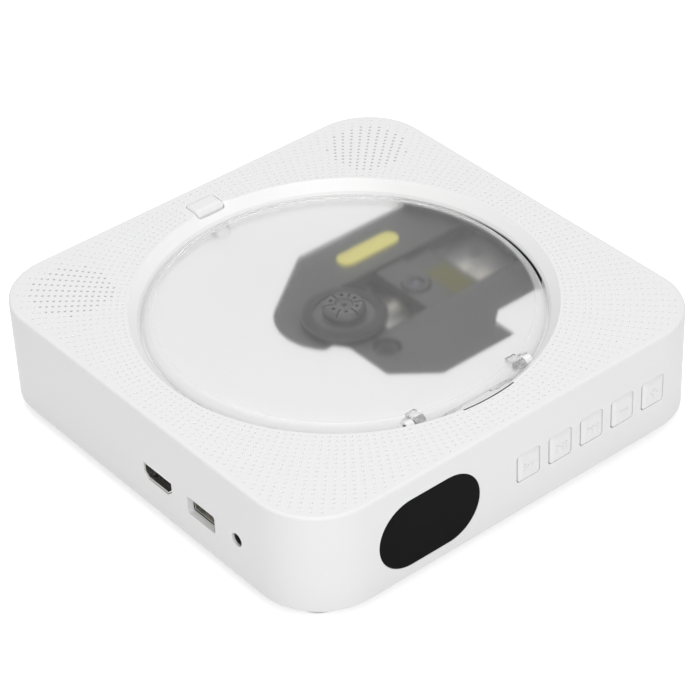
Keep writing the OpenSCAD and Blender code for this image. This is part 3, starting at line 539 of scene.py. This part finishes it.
# Along the hinge the edge is cut straight, and deeper beside each of the two arms. Turns are
# in degrees, and cuts in mm from the axis.
arm_turns = [(245.45, 249.05), (290.95, 294.55)]
hinge_cut, arm_cut, uncut = 66.4, 60.3, 99.0
hinge_side, edge_width = 0.5, 0.01
edges = [edge + shift for pair in arm_turns for edge in pair for shift in (-edge_width, edge_width)]
turns = np.sort(np.concatenate([np.arange(0, 360, 1.0), edges]))
at_arm = np.any([(turns > a) & (turns < b) for a, b in arm_turns], axis=0)
hingewards = -np.sin(np.radians(turns))
straight = np.where(at_arm, arm_cut, hinge_cut) / np.maximum(hingewards, hinge_side)
reach = np.where(hingewards > hinge_side, straight, uncut)
lid_clear = clear_plastic("hazed_clear_acrylic", 0.23, 0.02, 0.30, 0.25, (0.98, 0.98, 0.98))
lay_mesh("clear_lid", turned(lid_profile, turns, reach), lid_clear, "lid", "clear_lid", "lid")

# The two arms, each with the eye that takes its pin, and the nose that the latch holds. The
# arm's outline is drawn in mm over Y and Z, from the top's height: round the eye, then back
# along the web that joins it to the disc.
pin, eye_r, eye_points = [-62.5, -4.2], 1.75, 20
eye_start, eye_end = 20, 325
eye_turn = np.radians(np.linspace(eye_start, eye_end, eye_points))
eye_outline = eye_r * np.stack([np.cos(eye_turn), np.sin(eye_turn)], 1) + pin
web = [(-60.2, -5.6), (-58.6, -4.4), (-58.6, -3.0), (-60.2, -2.9)]
arm = np.concatenate([eye_outline, web]) / 1000 + [0, top]
arm_place, arm_half = 0.0215, 0.002
arms = joined(*[prism(arm, side * arm_place - arm_half, side * arm_place + arm_half) for side in (-1, 1)])
clear_edge = clear_plastic("clear_acrylic", 0.05, 0.03, 0.1, 0.1, (0.85, 0.85, 0.85))
lay_mesh("lid_arms", (arms[0][:, [2, 0, 1]], arms[1]), clear_edge, "lid", "clear_lid")
nose_top, nose_base = 0.007, 0.008
nose_outline = np.array([(-2.8, 64.7), (1.8, 64.7), (1.8, 67.4), (-2.8, 67.4)]) / 1000
nose = prism(nose_outline, top - nose_base, top - nose_top)
milky_edge = clear_plastic("milky_acrylic", 0.3, 0.9, 0.3, 0.9, (0.95, 0.95, 0.95))
lay_mesh("lid_nose", nose, milky_edge, "lid", "clear_lid")
dark_steel = finish("dark_pin_steel", (0.22, 0.22, 0.22), 0.4, blotch=0.1, metallic=0.8)
dress(dark_steel, "black_steel", "hinge_pins")


# ---------------------------------------------------------------- open button
# A white push button over the latch, moulded like the shell.

dress(shell_white, "shell_white", "open_button")


# ---------------------------------------------------------------- display and boards
# A window of dark smoked acrylic, flush with the front, over the display's board. The
# boards have a green solder mask.

smoked = finish("smoked_acrylic", (0.006, 0.006, 0.0065), 0.3, blotch=0.1, gloss=0.02)
dress(smoked, "window_black", "display_window")
board_green = finish("green_solder_mask", (0.02, 0.13, 0.06), 0.35, grain=0.00002, blotch=0.15)
dress(board_green, "board_green", "display_module", "key_board", "main_board")


# ---------------------------------------------------------------- keys
# Five white caps in the front, over a row of small switches. Each has soft bevels, a
# flange behind the wall, and a raised sign: back, play and pause, forward, minus, plus.

def lofted(rings, steps=5):
    """A closed body through rounded rectangles, given in mm as half width, half height, corner radius and
    place."""
    loops = [np.c_[rounded_outline(a, b, r, steps), np.full(4 * steps + 4, z)] for a, b, r, z in rings]
    n = len(loops[0])
    i = np.arange(n)
    k = (i + 1) % n
    band = np.stack([i, k, k + n, i + n], 1)
    skin = [face + n * row for row in range(len(rings) - 1) for face in band]
    return np.concatenate(loops), [i[::-1], *skin, i + n * (len(rings) - 1)]


# Sizes of the signs in mm: half a stroke's width, half a bar's height, half an arrow's
# length, and half the length of the minus and the plus. The third key stands at row_x, and
# all at row_z over the feet.
stroke, bar_half, arrow_half, plus_half = 0.35, 1.5, 1.1, 1.7
sign_low, sign_high = 0.6, 0.99
key_pitch, row_x, row_z = 0.0139, 0.0313, 0.0177


def bar(x, half_x=stroke, half_y=bar_half):
    """The corners of a rectangle with its middle at x."""
    return np.array([(-half_x, -half_y), (half_x, -half_y), (half_x, half_y), (-half_x, half_y)]) + [x, 0]


def arrow(x, side):
    """The corners of a triangle with its middle at x and its tip towards +x, or -x where side is -1."""
    corners = np.array([(-arrow_half, -bar_half), (arrow_half, 0), (-arrow_half, bar_half)])
    return corners[::side] * [side, 1] + [x, 0]


s, p = stroke, plus_half
plus = [(-p, -s), (-s, -s), (-s, -p), (s, -p), (s, -s), (p, -s),
        (p, s), (s, s), (s, p), (-s, p), (-s, s), (-p, s)]
signs = [[bar(-2.2), arrow(-0.7, -1), arrow(1.5, -1)], [arrow(-1.0, 1), bar(0.9), bar(2.0)],
         [arrow(-1.5, 1), arrow(0.7, 1), bar(2.2)], [bar(0, plus_half, stroke)], [plus]]
cap = lofted([(1.5, 1.5, 1.49, -5.6), (1.5, 1.5, 1.49, -3.7), (6.3, 6.65, 2, -3.7), (6.3, 6.65, 2, -2.5),
              (4.75, 5.3, 1.1, -2.5), (4.75, 5.3, 1.1, -0.1), (4.6, 5.15, 1.1, 0.05), (3.6, 4.15, 1.0, 0.72),
              (3.4, 3.95, 0.9, 0.76), (3.2, 3.75, 0.9, 0.74)])
for k, sign in enumerate(signs):
    points, faces = joined(cap, *[prism(shape, sign_low, sign_high) for shape in sign])
    place = [row_x + key_pitch * (k - 2), -body_half, feet + row_z]
    points = points[:, [0, 2, 1]] * [0.001, -0.001, 0.001] + place
    lay_mesh(f"key_cap_{k + 1}", (points, faces), shell_white, f"key_{k + 1}", "shell_white", f"key_{k + 1}")
black_abs = finish("black_abs", (0.02, 0.02, 0.021), 0.5, grain=0.00003, blotch=0.1)
dress(black_abs, "black_plastic", "key_switches", "board_chips", "hdmi_tongue", "audio_socket", "power_inlet")


# ---------------------------------------------------------------- sockets, cans and gears
# Stamped and plated shells of the sockets, motors and magnets, the sheet that carries the
# sled's motor, and a tongue, a rack and gears moulded in undyed nylon.

plated = finish("nickel_plate", (0.62, 0.61, 0.59), 0.28, blotch=0.06, metallic=1.0)
dress(plated, "steel", "hdmi_socket", "usb_socket", "spindle_motor", "sled_motor", "speaker_magnet_left",
      "speaker_magnet_right")
pressed = finish("pressed_zinc_sheet", (0.5, 0.5, 0.5), 0.6, blotch=0.25, metallic=0.3)
dress(pressed, "steel", "motor_plate")
natural = finish("natural_nylon", (0.72, 0.70, 0.62), 0.45, grain=0.00002, blotch=0.03)
dress(natural, "natural_plastic", "usb_tongue", "sled_rack", "motor_pinion", "drive_gear")
sleeve = finish("capacitor_sleeve", (0.6, 0.6, 0.6), 0.3, blotch=0.05, metallic=1.0)
dress(sleeve, "aluminium", "board_capacitors")


# ---------------------------------------------------------------- speakers
# Two small drivers under the back corners of the panel, each a grey basket with a cone of
# pressed paper.

basket = finish("grey_basket", (0.1, 0.1, 0.105), 0.5, blotch=0.08)
dress(basket, "grey_plastic", "speaker_frame_left", "speaker_frame_right")
cone_paper = finish("pressed_paper", (0.035, 0.034, 0.033), 0.85, grain=0.00008, grain_size=0.0008,
                    blotch=0.15)
dress(cone_paper, "paper_cone", "speaker_cone_left", "speaker_cone_right")


# ---------------------------------------------------------------- disc drive
# The deck is black ABS; hub, turntable, sled and lens holder too. Shaft and guide rods are
# polished steel, like the button's spring, and pad and grommets are black rubber.

deck_black = finish("deck_black_abs", (0.046, 0.046, 0.047), 0.6, grain=0.00001, blotch=0.06)
dress(deck_black, "black_plastic", "deck_frame")
hub_black = finish("hub_black_abs", (0.042, 0.042, 0.042), 0.5, grain=0.00001, blotch=0.08)
dress(hub_black, "black_plastic", "disc_hub", "turntable", "lens_holder", "sled")
pin_steel = finish("polished_pin_steel", (0.7, 0.7, 0.72), 0.15, metallic=1.0)
dress(pin_steel, "bright_steel", "open_spring", "power_pin", "spindle_shaft", "guide_rods")
blackened = finish("blackened_steel", (0.03, 0.03, 0.03), 0.4, blotch=0.1, metallic=0.6)
dress(blackened, "black_steel", "deck_screws")
pad_rubber = finish("black_pad_rubber", (0.016, 0.016, 0.016), 0.8, grain=0.00004, blotch=0.1)
dress(pad_rubber, "rubber_black", "turntable_pad")
grommet_rubber = finish("grommet_rubber", (0.045, 0.045, 0.045), 0.8, grain=0.00002, blotch=0.1)
dress(grommet_rubber, "rubber_black", "deck_grommets")
strip_yellow = finish("yellow_strip_print", (0.60, 0.55, 0.14), 0.5, blotch=0.03)
dress(strip_yellow, "yellow", "yellow_strip")
film = finish("amber_film", (0.09, 0.085, 0.02), 0.45, blotch=0.08, gloss=0.2)
dress(film, "amber_film", "sled_flex")
coated_lens = finish("coated_lens", (0.02, 0.022, 0.035), 0.1, blotch=0.05)
dress(coated_lens, "lens_glass", "lens")
